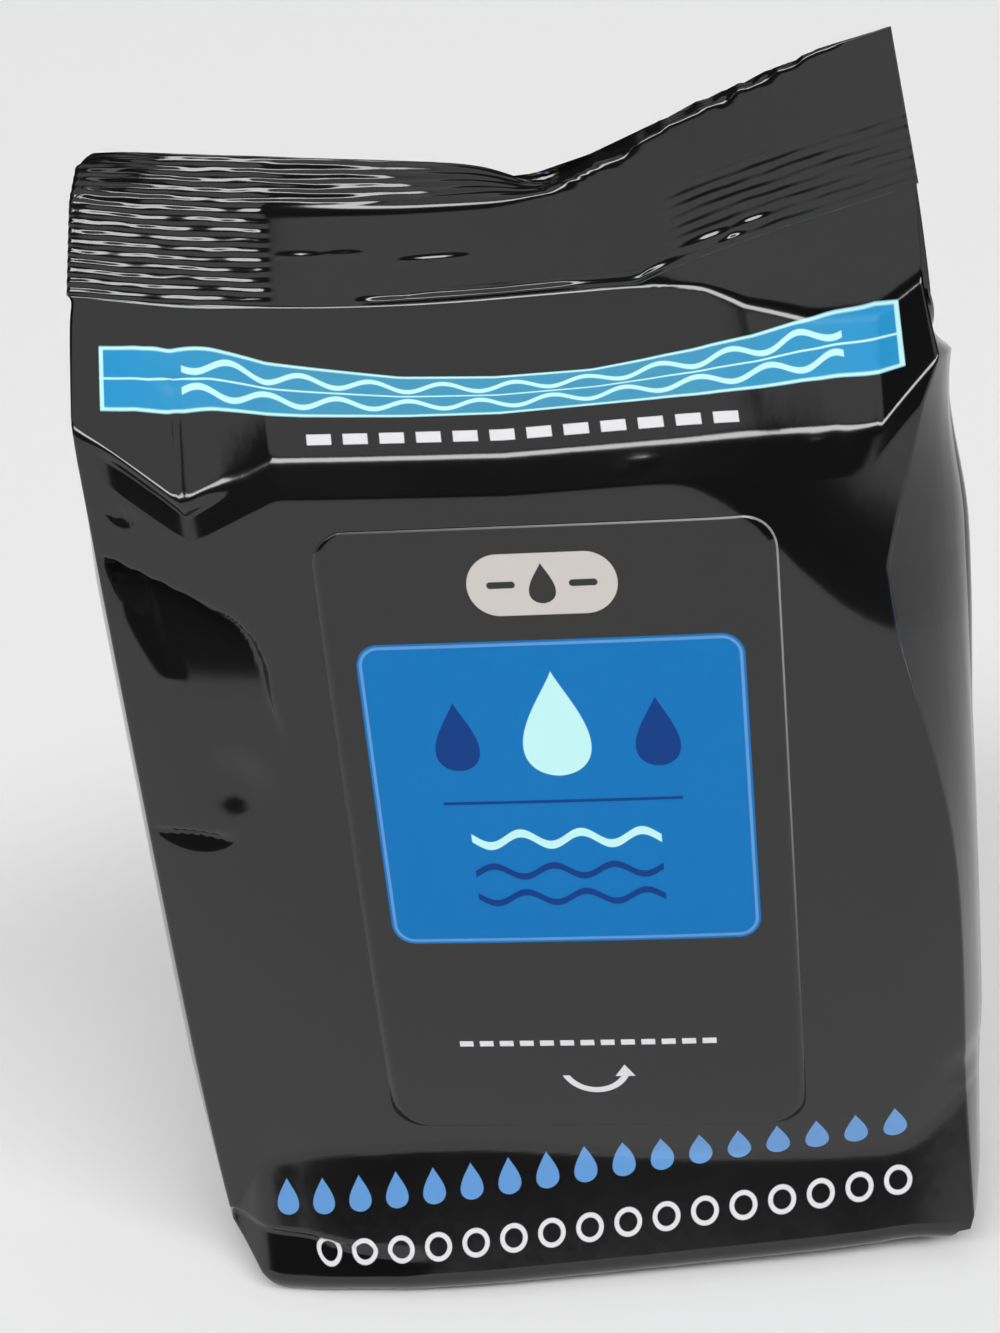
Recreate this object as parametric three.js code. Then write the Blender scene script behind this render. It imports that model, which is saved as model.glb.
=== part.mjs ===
// A pack of wet wipes: a gusseted film pouch standing on its folded bottom seal, with a crimped seal fin
// along the top and a peel-back label stuck over the opening in the front.
// Millimetres, +Z up, the front faces -Y, and the origin is on the ground under the middle of the pack.

import * as THREE from 'three';

// The pouch, filled with its stack of wipes
const PACK_WIDTH = 108.2;       // front panel, side crease to side crease
const PACK_DEPTH = 36;         // front to back over the stack
const STACK_HEIGHT = 124.7;    // ground to the front top edge at mid width
const PANEL_CROWN = 1.2;       // swell of the front and back panels
const CREASE_SETBACK = 2.6;    // side creases lie this far behind the panel's middle
const SIDE_BULGE = 4;          // swell of the side gussets
const BASE_RADIUS = 3;         // rounding along the foot of the panels
const TOP_BEVEL = 5;           // slack strip under the top edge, leaning back
const TOP_LEAN = 1.9;          // how far that strip leans back
const TOP_RADIUS = 1;          // rounding of the top edge

// Corners of the top edge
const CORNER_RISE = 7.8;       // film corners stand above the middle of the edge
const BACK_CORNER_RISE = 1;    // and those at the back
const EAR_INSET = 13.2;        // tip of the left dog-ear, in from the side crease
const EAR_SPAN = 25;           // side crease to where the edge runs level again
const EAR_DROP = 3.4;          // tip below the edge
const EAR_REACH = 2.6;         // tip out in front of the edge
const TUCK_INSET = 5.6;        // where the edge starts to climb to the right corner

// Shoulder, gussets and the crimped top seal
const SHOULDER_RISE = 15.6;    // top edge to the root of the seal at mid width
const GUSSET_DEPTH = 17;       // how far the side gussets fold in under the seal
const SEAL_WIDTH = 109.4;      // root of the seal, end to end
const SEAL_SHIFT = -2;         // the seal sits off centre
const SEAL_HEIGHT = 19;
const SEAL_THICKNESS = 0.7;    // layers of film welded together
const SEAL_SETBACK = 2;        // the left end of the root lies behind the right end
const SEAL_RAKE = 2.6;         // the top corners of the seal draw in
const LEFT_LIFT = 5;           // the root climbs to the left end
const RIGHT_LIFT = 9.4;        // and more to the right end
const BACK_SPREAD = 1.5;       // the back of the shoulder stands out past the front at the right
const CRIMP_PITCH = 1.25;
const CRIMP_DEPTH = 0.4;

// Folded foot
const FOOT_FOLD = 0.6;         // thickness of the bottom seal, folded flat to the back
const FOOT_ROOT = 4.5;         // its root lies this far in front of the middle
const FOOT_MARGIN = 2;         // its free edge stops this short of the rounded foot
const FOOT_STRIP = 4;          // width of the strip the front of the base stands on
const FOOT_LIFT = 3.4;         // the foot of the front climbs to the right
const LEFT_CUT = 8;            // bottom left corner folds in, across
const LEFT_CUT_RISE = 8;       // and up
const RIGHT_CUT = 3;           // bottom right corner folds in, across
const RIGHT_CUT_RISE = 8;      // and up

// Back seam
const SEAM_WIDTH = 12;         // lengthwise seam of the tube, folded flat on the back
const SEAM_THICKNESS = 0.5;
const SEAM_STEP = 0.3;         // width of the step at its edges

// Dents
const DENT_WIDTH = 19.6;       // thumb dent at the left crease
const DENT_RISE = 20;          // lip above its middle
const DENT_LEVEL = 95;         // height of its middle
const DENT_SLOPE = 0.34;       // its floor falls back towards the lip
const DENT_LIP = 0.12;         // share of the dent that its lip takes
const PINCH_DEPTH = 8;         // right crease drawn in towards the label
const PINCH_LEVEL = 105;       // height of the deepest point
const PINCH_RISE = 28;         // height above it to where the crease is straight again
const PINCH_FALL = 19;         // spread of the pinch below
const SLACK_SLOPE = 0.31;      // fall of the slack facet at the upper right
const SLACK_DEPTH = 8;         // most that it falls back
const SLACK_SAG = 0.4;         // share of the fall by which the top edge sinks there
const SWEEP_DEPTH = 4;         // hollow along the curved fold above the foot
const SWEEP_FADE = 25;         // height over which the hollow runs out
const SWEEP_FLARE = 0.42;      // slope of the film that stands out below the fold
const SWEEP_FLARE_RIGHT = 0.26; // and at the right corner

// Fold above the slack facet and fold above the foot: [share of the half width, share of the stack height].
const SLACK_FOLD = [
  [-1.11, 1.203], [0, 1.026], [0.222, 0.986], [0.37, 0.962], [0.499, 0.926],
  [0.573, 0.894], [0.647, 0.854], [0.739, 0.81], [0.823, 0.782], [1.04, 0.754],
];
const SWEEP_FOLD = [
  [-1.04, 0.12], [-0.87, 0.144], [-0.76, 0.16], [-0.61, 0.171], [-0.35, 0.178], [0.04, 0.163],
  [0.3, 0.15], [0.55, 0.141], [0.7, 0.138], [0.85, 0.143], [0.92, 0.168], [1.04, 0.217],
];

// Lean of the top seal in degrees, [u, lean], below and above the line it is folded over along.
const LEAN_LOW = [[-1, 16], [-0.8, 11], [-0.58, 9], [-0.45, 5], [0.6, 5], [1, 2]];
const LEAN_HIGH = [
  [-1, 42], [-0.85, 24], [-0.7, 14], [-0.58, 12], [-0.5, 20], [-0.26, 38], [0, 62],
  [0.14, 86], [0.3, 80], [1, 70],
];
// That line, [u, share of the seal's height]: it climbs to the right from a kink.
const FOLD_LINE = [
  [-1, 0.637], [0.1, 0.637], [0.16, 0.647], [0.31, 0.81], [0.41, 0.863], [0.63, 0.91], [0.86, 0.99], [1, 1.063],
];
const FOLD_SOFT = 0.063;       // share of the seal's height that the fold takes to either side

// Bend of the shoulder, [u, share of its run] and [u, share of its rise]: at the root, and lower at the right.
const BEND_OUT = [[-1, 0.96], [0.36, 0.96], [0.5, 0.95], [0.75, 0.92], [1, 0.92]];
const BEND_UP = [[-1, 0.93], [0.36, 0.93], [0.5, 0.78], [0.6, 0.6], [0.75, 0.47], [1, 0.42]];

// Label
const LABEL_WIDTH = 58.4;
const LABEL_SHIFT = 3.1;        // off centre to the right
const LABEL_TOP_MARGIN = 9;    // below the top edge
const LABEL_FOOT_MARGIN = 25;  // above the ground
const LABEL_RADIUS = 4.5;
const LABEL_TILT = -2.3;       // degrees, slant of its top and foot
const LABEL_LEAN = -0.6;       // degrees, slant of its sides
const LABEL_THICKNESS = 0.3;
const LABEL_GAP = 0.3;         // layer of glue

// Fineness of the mesh
const WALL_ROWS = 32;
const SHOULDER_ROWS = 9;
const LEAN_STEPS = 12;
const ROUND_ROWS = 3;
const GUSSET_COLUMNS = 6;
const LABEL_COLUMNS = 12;
const LABEL_ROWS = 14;
const LABEL_CORNER_ROWS = 4;

const HALF = PACK_WIDTH / 2;
const FRONT = -1;
const BACK = 1;
const { clamp, lerp, smoothstep, degToRad } = THREE.MathUtils;

// Value at x on a line or a smooth curve through stations, each [x, value], in rising x.
function through(Interpolant, stations, x) {
  const xs = stations.map((station) => station[0]);
  const values = stations.map((station) => station[1]);
  return new Interpolant(xs, values, 1, [0]).evaluate(x)[0];
}

// Numbers from start up to, but not including, end.
function steps(start, end, count) {
  return Array.from({ length: count }, (_, k) => lerp(start, end, k / count));
}

// Nothing below zero and x above it, with a soft start.
function ramp(x, soft) {
  return (x + Math.hypot(x, soft)) / 2;
}

// Side creases: how far they are drawn in towards the middle at height z.
function creaseInset(z, sign, side) {
  const foot = z < BASE_RADIUS ? BASE_RADIUS - Math.sqrt(BASE_RADIUS ** 2 - (BASE_RADIUS - z) ** 2) : 0;
  if (sign < 0) {
    return foot + LEFT_CUT * clamp(1 - z / LEFT_CUT_RISE, 0, 1);
  }
  const above = clamp((z - PINCH_LEVEL) / PINCH_RISE, 0, 1);
  const below = Math.min(0, z - PINCH_LEVEL) / PINCH_FALL;
  const pinch = side === FRONT ? PINCH_DEPTH * (1 - above) * Math.exp(-(below ** 2) / 2) : 0;
  return foot + pinch + RIGHT_CUT * clamp(1 - z / RIGHT_CUT_RISE, 0, 1);
}

// Place across a panel, from u = -1 at its left crease to u = 1 at its right crease.
function acrossPanel(u, z, side) {
  const sign = Math.sign(u);
  return u * HALF - sign * creaseInset(z, sign, side) * smoothstep(Math.abs(u), 0.62, 1);
}

// Thumb dent: a crisp lip round a floor that falls back as it rises. It is shallow at the crease.
function thumbDent(x, z) {
  const reach = Math.hypot((x + HALF) / DENT_WIDTH, (z - DENT_LEVEL) / DENT_RISE);
  const inside = smoothstep(1 - reach, 0, DENT_LIP);
  const beside = lerp(0.2, 1, smoothstep(x / HALF, -1.02, -0.85));
  return DENT_SLOPE * inside * beside * ramp(z - DENT_LEVEL + DENT_RISE * 0.15, DENT_RISE * 0.3);
}

// Slack facet at the upper right: the film falls back above a curved fold.
function slackFall(x, z) {
  const fold = STACK_HEIGHT * through(THREE.CubicInterpolant, SLACK_FOLD, x / HALF);
  return SLACK_DEPTH * Math.tanh(SLACK_SLOPE * ramp(z - fold, 1.2) / SLACK_DEPTH);
}

// Curved fold above the foot: hollow over it, and the film stands out below it.
function footSweep(x, z) {
  const above = z - STACK_HEIGHT * through(THREE.CubicInterpolant, SWEEP_FOLD, x / HALF);
  const flare = lerp(SWEEP_FLARE, SWEEP_FLARE_RIGHT, smoothstep(x / HALF, 0.74, 1));
  return SWEEP_DEPTH * Math.exp(-Math.max(0, above) / SWEEP_FADE) - flare * ramp(-above, 0.5);
}

// Distance of a panel's face from the middle plane of the pack.
function faceDepth(x, z, side) {
  const across = x / HALF;
  const up = clamp(z / STACK_HEIGHT, 0, 1);
  const swell = PANEL_CROWN * (1 - across ** 2) * Math.sin(Math.PI * up);
  const face = PACK_DEPTH / 2 + swell - CREASE_SETBACK * across ** 4;
  if (side === FRONT) {
    return face - thumbDent(x, z) - slackFall(x, z) - footSweep(x, z);
  }
  const seam = clamp((SEAM_WIDTH / 2 + SEAM_STEP - Math.abs(x)) / SEAM_STEP, 0, 1);
  return face + SEAM_THICKNESS * seam;
}

// Top edge of a panel at u: its height and its distance from the middle plane.
function topEdge(u, side) {
  const corner = STACK_HEIGHT + (side === FRONT ? CORNER_RISE : BACK_CORNER_RISE);
  const earTip = -1 + EAR_INSET / HALF;
  const earEnd = -1 + EAR_SPAN / HALF;
  const tuck = 1 - TUCK_INSET / HALF;
  const ear = side === FRONT ? EAR_DROP : 0;
  const level = through(THREE.LinearInterpolant, [
    [-1, corner],
    [earTip, STACK_HEIGHT - ear],
    [earEnd, STACK_HEIGHT + ear / 2],
    [0, STACK_HEIGHT],
    [tuck, STACK_HEIGHT],
    [1, corner],
  ], u);
  const x = acrossPanel(u, level, side);
  if (side === BACK) {
    return { x, z: level, out: faceDepth(x, level - TOP_BEVEL, side) - TOP_LEAN };
  }
  const z = level - SLACK_SAG * slackFall(x, level - TOP_BEVEL);
  const near = clamp(1 - Math.abs(u - earTip) * HALF / EAR_INSET, 0, 1) ** (u < earTip ? 1 : 2.5);
  const lean = TOP_LEAN * lerp(0.2, 1, smoothstep(u, -0.8, -0.72));
  return { x, z, out: faceDepth(x, z - TOP_BEVEL, side) - lean + EAR_REACH * near };
}

// Root of the top seal at u, on the middle of its thickness.
function sealRoot(u) {
  const left = LEFT_LIFT * Math.min(0, u) ** 2;
  const right = RIGHT_LIFT * clamp((u - 0.36) / 0.64, 0, 1) ** 0.8;
  const x = SEAL_SHIFT + u * SEAL_WIDTH / 2;
  const y = SEAL_SETBACK * (1 - u) / 2;
  return new THREE.Vector3(x, y, STACK_HEIGHT + SHOULDER_RISE + left + right);
}

// The seal leans back, and the middle of it is folded over along a line, most at a kink.
function sealLean(u, h) {
  const low = through(THREE.CubicInterpolant, LEAN_LOW, u);
  const high = through(THREE.CubicInterpolant, LEAN_HIGH, u);
  const line = through(THREE.LinearInterpolant, FOLD_LINE, u);
  const share = smoothstep(h / SEAL_HEIGHT, line - FOLD_SOFT, line + FOLD_SOFT);
  return degToRad(Math.max(0.5, lerp(low, high, share)));
}

// A point on the seal at height h above its root, on its front or its back face.
function sealPoint(u, h, side) {
  const lean = sealLean(u, h);
  const crimp = CRIMP_DEPTH / 2 * -Math.cos(2 * Math.PI * h / CRIMP_PITCH);
  const off = crimp - side * SEAL_THICKNESS / 2;
  const point = sealRoot(u);
  for (let k = 0; k < LEAN_STEPS; k += 1) {
    const bent = sealLean(u, h * (k + 0.5) / LEAN_STEPS);
    point.y += h / LEAN_STEPS * Math.sin(bent);
    point.z += h / LEAN_STEPS * Math.cos(bent);
  }
  point.x -= SEAL_RAKE * u * h / SEAL_HEIGHT;
  point.y -= off * Math.cos(lean);
  point.z += off * Math.sin(lean);
  return point;
}

// Shoulder: from the rounded top edge, flat up to a bend, then steep to the root of the seal.
function shoulderPoint(u, t, side) {
  const edge = topEdge(u, side);
  const root = sealPoint(u, 0, side);
  const start = { y: side * edge.out, z: edge.z };
  const bend = {
    y: lerp(start.y, root.y, through(THREE.LinearInterpolant, BEND_OUT, u)),
    z: lerp(start.z, root.z, through(THREE.LinearInterpolant, BEND_UP, u)),
  };
  const hold = lerp(4, 30, smoothstep(u, 0.36, 0.5));
  const along = t * t * (3 - 2 * t) + t * (1 - t) * (1 - 2 * t) / hold;
  const weights = [(1 - along) ** 2, 2 * hold * along * (1 - along), along ** 2];
  const total = weights[0] + weights[1] + weights[2];
  const y = (weights[0] * start.y + weights[1] * bend.y + weights[2] * root.y) / total;
  const z = (weights[0] * start.z + weights[1] * bend.z + weights[2] * root.z) / total;
  const spread = side === BACK ? BACK_SPREAD * 4 * along * (1 - along) * smoothstep(u, 0.6, 1) : 0;
  return new THREE.Vector3(lerp(edge.x, root.x, along) + spread, y, z);
}

// Share of the shoulder that the rounded top edge takes.
const EDGE_SHARE = TOP_RADIUS / 42;

// The rounded top edge, between the leaning strip and the shoulder.
function edgePoint(u, t, side) {
  const edge = topEdge(u, side);
  const low = stripPoint(u, 1 - TOP_RADIUS / TOP_BEVEL, side);
  const high = shoulderPoint(u, EDGE_SHARE, side);
  const corner = new THREE.Vector3(edge.x, side * edge.out, edge.z);
  return new THREE.QuadraticBezierCurve3(low, corner, high).getPoint(t);
}

// The slack strip under the top edge.
function stripPoint(u, t, side) {
  const edge = topEdge(u, side);
  const foot = wallPoint(u, 1, side);
  return foot.lerp(new THREE.Vector3(edge.x, side * edge.out, edge.z), t);
}

// Height of the foot of a panel above the ground.
function footLift(u, side) {
  return side === FRONT ? FOOT_LIFT * (1 + u) / 2 : 0;
}

// The upright face of a panel.
function wallPoint(u, t, side) {
  const z = lerp(footLift(u, side) + BASE_RADIUS, topEdge(u, side).z - TOP_BEVEL, t);
  const x = acrossPanel(u, z, side);
  return new THREE.Vector3(x, side * faceDepth(x, z, side), z);
}

// The rounded foot of a panel.
function footPoint(u, angle, side) {
  const rise = BASE_RADIUS * (1 - Math.sin(angle));
  const lift = footLift(u, side);
  const x = acrossPanel(u, rise, side);
  const out = faceDepth(x, BASE_RADIUS + lift, side) - BASE_RADIUS * (1 - Math.cos(angle));
  return new THREE.Vector3(x, side * out, rise + lift);
}

// The base: the bottom seal lies folded flat to the back, the front stands on a strip along its edge.
function basePoint(u, step, side) {
  const foot = footPoint(u, Math.PI / 2, side);
  const inner = Math.abs(foot.y) - FOOT_STRIP;
  const lift = footLift(u, side);
  const front = [[FOOT_ROOT, FOOT_FOLD], [inner - 1, FOOT_FOLD + lift], [inner, lift]];
  const edge = PACK_DEPTH / 2 - CREASE_SETBACK - BASE_RADIUS - FOOT_MARGIN;
  const back = [[-FOOT_ROOT, 0], [edge, 0], [edge + FOOT_FOLD / 2, FOOT_FOLD]];
  const [out, z] = side === FRONT ? front[step] : back[step];
  const x = acrossPanel(u, 0, side);
  return new THREE.Vector3(x, side * out, z);
}

// Columns across the panels, close together at the ear, the seam and the right corner.
const seam = SEAM_WIDTH / 2 / HALF;
const seamOuter = seam + SEAM_STEP / HALF;
const columns = [
  ...steps(-1, -1 + EAR_INSET / HALF, 4),
  ...steps(-1 + EAR_INSET / HALF, -1 + EAR_SPAN / HALF, 4),
  ...steps(-1 + EAR_SPAN / HALF, -seamOuter, 4),
  -seamOuter,
  ...steps(-seam, seam, 2),
  seam,
  ...steps(seamOuter, 1 - TUCK_INSET / HALF, 7),
  ...steps(1 - TUCK_INSET / HALF, 1, 3),
  1,
];

// Levels from the ground to the top of the seal. Each gives the panels' points, how far the side gussets
// swell out at their middle, and how far they are tucked in.
function makeLevels() {
  const levels = [];
  for (let step = 0; step < 3; step += 1) {
    levels.push({ point: (u, side) => basePoint(u, step, side), swell: 0.4 + 0.5 * step, tuck: 0 });
  }
  for (let step = 0; step < ROUND_ROWS; step += 1) {
    const angle = Math.PI / 2 * (1 - step / ROUND_ROWS);
    const swell = lerp(2, 0.6 * SIDE_BULGE, step / ROUND_ROWS);
    levels.push({ point: (u, side) => footPoint(u, angle, side), swell, tuck: 0 });
  }
  for (const t of [...steps(0, 0.06, 2), ...steps(0.06, 0.2, 7), ...steps(0.2, 0.76, 8),
    ...steps(0.76, 1, WALL_ROWS - 17), 1]) {
    const swell = SIDE_BULGE * (0.6 + 0.4 * Math.min(1, t * 4)) * (1 - 0.4 * smoothstep(t, 0.85, 1));
    levels.push({ point: (u, side) => wallPoint(u, t, side), swell, tuck: 0 });
  }
  for (let row = 0; row <= ROUND_ROWS; row += 1) {
    const t = row / ROUND_ROWS;
    levels.push({ point: (u, side) => edgePoint(u, t, side), swell: SIDE_BULGE * 0.6, tuck: 0 });
  }
  for (let row = 1; row <= SHOULDER_ROWS; row += 1) {
    const t = lerp(EDGE_SHARE, 1, row / SHOULDER_ROWS);
    const tuck = GUSSET_DEPTH * (row / SHOULDER_ROWS) ** 1.6;
    const swell = SIDE_BULGE * 0.6 * (1 - row / SHOULDER_ROWS) ** 2;
    levels.push({ point: (u, side) => shoulderPoint(u, t, side), swell, tuck });
  }
  const crimpRows = Math.round(2 * SEAL_HEIGHT / CRIMP_PITCH);
  for (let row = 1; row <= crimpRows; row += 1) {
    const h = row * CRIMP_PITCH / 2;
    levels.push({ point: (u, side) => sealPoint(u, h, side), swell: SEAL_THICKNESS / 2, tuck: 0, flat: true });
  }
  return levels;
}

// Stations over a side gusset, 0 at the front crease and 1 at the back crease.
const gusset = steps(0, 1, GUSSET_COLUMNS).slice(1);

function gussetPoint(level, s, sign) {
  const u = sign * (1 - level.tuck / HALF * (1 - Math.abs(2 * s - 1)));
  const front = level.point(u, FRONT);
  const back = level.point(u, BACK);
  const drawnIn = sign * (level.point(sign, BACK).x - level.point(sign, FRONT).x) / 2;
  const swell = level.tuck > 0 ? level.swell : level.swell + Math.max(0, drawnIn);
  const point = front.lerp(back, s);
  point.x += sign * swell * (level.flat ? 1 - Math.abs(2 * s - 1) : 4 * s * (1 - s));
  return point;
}

// One closed ring round the pack at a level, from the middle of the left gusset over the front.
function ringAt(level) {
  const middle = GUSSET_COLUMNS / 2;
  return [
    ...gusset.slice(0, middle).reverse().map((s) => gussetPoint(level, s, -1)),
    ...columns.map((u) => level.point(u, FRONT)),
    ...gusset.map((s) => gussetPoint(level, s, 1)),
    ...columns.toReversed().map((u) => level.point(u, BACK)),
    ...gusset.slice(middle).reverse().map((s) => gussetPoint(level, s, -1)),
  ];
}

// Skins a stack of rings into a closed body. Each end is closed from the ring's first point, pairing the
// points on its two sides.
function skin(rings) {
  const count = rings[0].length;
  const index = [];
  for (let level = 0; level + 1 < rings.length; level += 1) {
    for (let k = 0; k < count; k += 1) {
      const next = (k + 1) % count;
      const low = level * count;
      const high = low + count;
      index.push(low + k, low + next, high + next);
      index.push(low + k, high + next, high + k);
    }
  }
  const closeEnd = (start, facesUp) => {
    const triangle = (a, b, c) => {
      const corners = facesUp ? [a, b, c] : [a, c, b];
      index.push(...corners.map((corner) => start + corner));
    };
    for (let k = 0; k < count / 2; k += 1) {
      const across = (count - k) % count;
      if (k + 1 < count / 2) {
        triangle(k, k + 1, count - k - 1);
      }
      if (k > 0) {
        triangle(k, k + 1 < count / 2 ? count - k - 1 : k + 1, across);
      }
    }
  };
  closeEnd(0, false);
  closeEnd((rings.length - 1) * count, true);
  const geometry = new THREE.BufferGeometry();
  const places = rings.flat().flatMap((point) => point.toArray());
  geometry.setAttribute('position', new THREE.Float32BufferAttribute(places, 3));
  geometry.setIndex(index);
  geometry.computeVertexNormals();
  return geometry;
}

// A point of the label, given from the label's own middle, lying on the front panel.
function labelPoint(across, up, lift) {
  const middle = (LABEL_FOOT_MARGIN + STACK_HEIGHT - LABEL_TOP_MARGIN) / 2;
  const tilt = degToRad(LABEL_TILT);
  const lean = degToRad(LABEL_LEAN);
  const x = LABEL_SHIFT + across * Math.cos(tilt) - up * Math.sin(lean);
  const z = middle + across * Math.sin(tilt) + up * Math.cos(lean);
  return new THREE.Vector3(x, -faceDepth(x, z, FRONT) - lift, z);
}

// Rows up the label, each with its half width. The corners are round.
function labelRows() {
  const halfHeight = (STACK_HEIGHT - LABEL_TOP_MARGIN - LABEL_FOOT_MARGIN) / 2;
  const corner = Array.from({ length: LABEL_CORNER_ROWS + 1 }, (_, k) => {
    const angle = Math.PI / 2 * k / LABEL_CORNER_ROWS;
    return {
      up: halfHeight - LABEL_RADIUS * (1 - Math.cos(angle)),
      half: LABEL_WIDTH / 2 - LABEL_RADIUS * (1 - Math.sin(angle)),
    };
  });
  const straight = halfHeight - LABEL_RADIUS;
  const middle = steps(-straight, straight, LABEL_ROWS).slice(1).map((up) => ({ up, half: LABEL_WIDTH / 2 }));
  return [
    ...corner.map(({ up, half }) => ({ up: -up, half })),
    ...middle,
    ...corner.toReversed(),
  ];
}

function makeLabel() {
  const outer = LABEL_GAP + LABEL_THICKNESS;
  const across = [...steps(-1, 1, LABEL_COLUMNS), 1];
  return skin(labelRows().map(({ up, half }) => [
    ...across.map((share) => labelPoint(share * half, up, outer)),
    ...across.toReversed().map((share) => labelPoint(share * half, up, LABEL_GAP)),
  ]));
}

function named(name, geometry, material) {
  const mesh = new THREE.Mesh(geometry, new THREE.MeshStandardMaterial(material));
  mesh.name = name;
  return mesh;
}

const pack = new THREE.Group();
pack.name = 'wipes_pack';
pack.add(named('pouch', skin(makeLevels().map(ringAt)), { color: 0x18181b, roughness: 0.22, metalness: 0 }));
pack.add(named('reseal_label', makeLabel(), { color: 0x1f78c0, roughness: 0.25, metalness: 0 }));

export default pack;
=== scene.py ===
import bpy
import numpy as np
from mathutils import Matrix, Vector


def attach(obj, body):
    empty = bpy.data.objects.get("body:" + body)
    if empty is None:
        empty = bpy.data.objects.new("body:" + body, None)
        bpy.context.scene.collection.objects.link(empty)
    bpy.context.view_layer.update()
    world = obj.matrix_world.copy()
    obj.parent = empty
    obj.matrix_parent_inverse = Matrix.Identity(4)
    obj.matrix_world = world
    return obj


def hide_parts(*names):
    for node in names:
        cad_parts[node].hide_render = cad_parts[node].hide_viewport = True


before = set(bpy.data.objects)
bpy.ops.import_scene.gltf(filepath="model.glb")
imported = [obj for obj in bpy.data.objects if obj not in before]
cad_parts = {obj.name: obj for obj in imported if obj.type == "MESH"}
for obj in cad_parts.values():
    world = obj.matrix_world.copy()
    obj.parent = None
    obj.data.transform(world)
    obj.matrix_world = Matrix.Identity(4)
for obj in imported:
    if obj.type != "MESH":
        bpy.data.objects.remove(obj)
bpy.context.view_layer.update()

# The pouch: one tube of glossy black film, printed flat, folded round a stack of wipes with gusseted sides
# and welded across both ends by ribbed jaws. The bottom weld is folded flat under the stack. All lengths of
# the film are in millimetres.
width, depth, stack_height = 108.2, 36.0, 124.7
half = width / 2
panel_crown, crease_setback, side_bulge = 1.2, 2.6, 4.0
base_radius, top_bevel, top_lean, top_radius = 3.0, 5.0, 1.9, 1.0
corner_rise, back_corner_rise = 7.8, 1.0
ear_inset, ear_span, ear_drop, ear_reach, tuck_inset = 13.2, 25.0, 3.4, 2.6, 5.6
shoulder_rise, gusset_depth, back_spread = 15.6, 17.0, 1.5
seal_width, seal_shift, seal_height, seal_thickness = 109.4, -2.0, 19.0, 0.5
seal_setback, seal_rake, left_lift, right_lift = 2.0, 2.6, 5.0, 9.4
crimp_pitch, crimp_depth = 1.25, 0.2
foot_fold, foot_root, foot_margin, foot_strip, foot_lift = 0.6, 4.5, 2.0, 4.0, 3.4
left_cut, left_cut_rise, right_cut, right_cut_rise = 8.0, 8.0, 3.0, 8.0
seam_width, seam_thickness, seam_step, seam_rib, seam_rib_height = 12.0, 0.5, 0.5, 0.6, 0.07
fold_line_depth, fold_line_width = 1.1, 0.045
FRONT, BACK = -1, 1

# A place across a panel, u, runs from -1 at the left crease to 1 at the right one. A height up the weld is h.
ear_tip, ear_end, tuck = -1 + ear_inset / half, -1 + ear_span / half, 1 - tuck_inset / half


def ease(x, low, high):
    t = np.clip((x - low) / (high - low), 0, 1)
    return t * t * (3 - 2 * t)


def mix(a, b, t):
    return a + (b - a) * t


def curve(stations, x):
    """Smooth curve through (place, value) stations."""
    places, values = np.array(stations, float).T
    slope = np.gradient(values, places)
    k = np.clip(np.searchsorted(places, x) - 1, 0, len(places) - 2)
    gap = places[k + 1] - places[k]
    t = np.clip((x - places[k]) / gap, 0, 1)
    low = (1 + 2 * t) * values[k] + t * gap * slope[k]
    high = (3 - 2 * t) * values[k + 1] + (t - 1) * gap * slope[k + 1]
    return (1 - t) ** 2 * low + t**2 * high


def fold(x, z, path, drop, lip, run):
    """Depth of a fold in the film: a crisp lip along a path, and a slope below it that runs out."""
    path = np.array(path, float)
    below = np.interp(x, path[:, 0], path[:, 1]) - z
    share = np.clip((x - path[0, 0]) / (path[-1, 0] - path[0, 0]), 0, 1)
    fade = 4 * share * (1 - share) + 1e-3
    return fade * drop * ease(below, 0, lip) * np.clip(1 - below / (run * fade), 0, 1)


def dimple(x, z, at, size, drop):
    """Depth of a soft round dimple."""
    reach = np.hypot((x - at[0]) / size[0], (z - at[1]) / size[1])
    return drop * ease(1 - reach, 0, 1)


def crease_inset(z, u, side):
    """How far the side creases are drawn in at height z."""
    foot = base_radius - np.sqrt(base_radius**2 - np.clip(base_radius - z, 0, base_radius) ** 2)
    left = left_cut * np.clip(1 - z / left_cut_rise, 0, 1)
    right = right_cut * np.clip(1 - z / right_cut_rise, 0, 1)
    if side == FRONT:
        pinch_level, pinch_rise, pinch_fall, pinch_depth = 105.0, 28.0, 19.0, 8.0
        above = np.clip((z - pinch_level) / pinch_rise, 0, 1)
        below = np.minimum(0, z - pinch_level) / pinch_fall
        right = right + pinch_depth * (1 - above) * np.exp(-(below**2) / 2)
    return foot + np.where(u < 0, left, right)


def across_panel(u, z, side):
    """x of a place across a panel. Only the film near the creases is drawn in."""
    return u * half - np.sign(u) * crease_inset(z, u, side) * ease(np.abs(u), 0.62, 1)


def ramp(x, soft):
    """Nothing below zero and x above it, with a soft start."""
    return (x + np.sqrt(x * x + soft * soft)) / 2


def slack(x, z):
    """Depth of the slack facet under the top right corner."""
    slope, soft, deepest = 0.31, 1.2, 8.0
    edge = curve([(-60, 150), (0, 128), (12, 123), (20, 120), (27, 115.5), (31, 111.5), (35, 106.5),
                  (40, 101), (44.5, 97.5), (56, 94)], x)
    return deepest * np.tanh(slope * ramp(z - edge, soft) / deepest)


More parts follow.
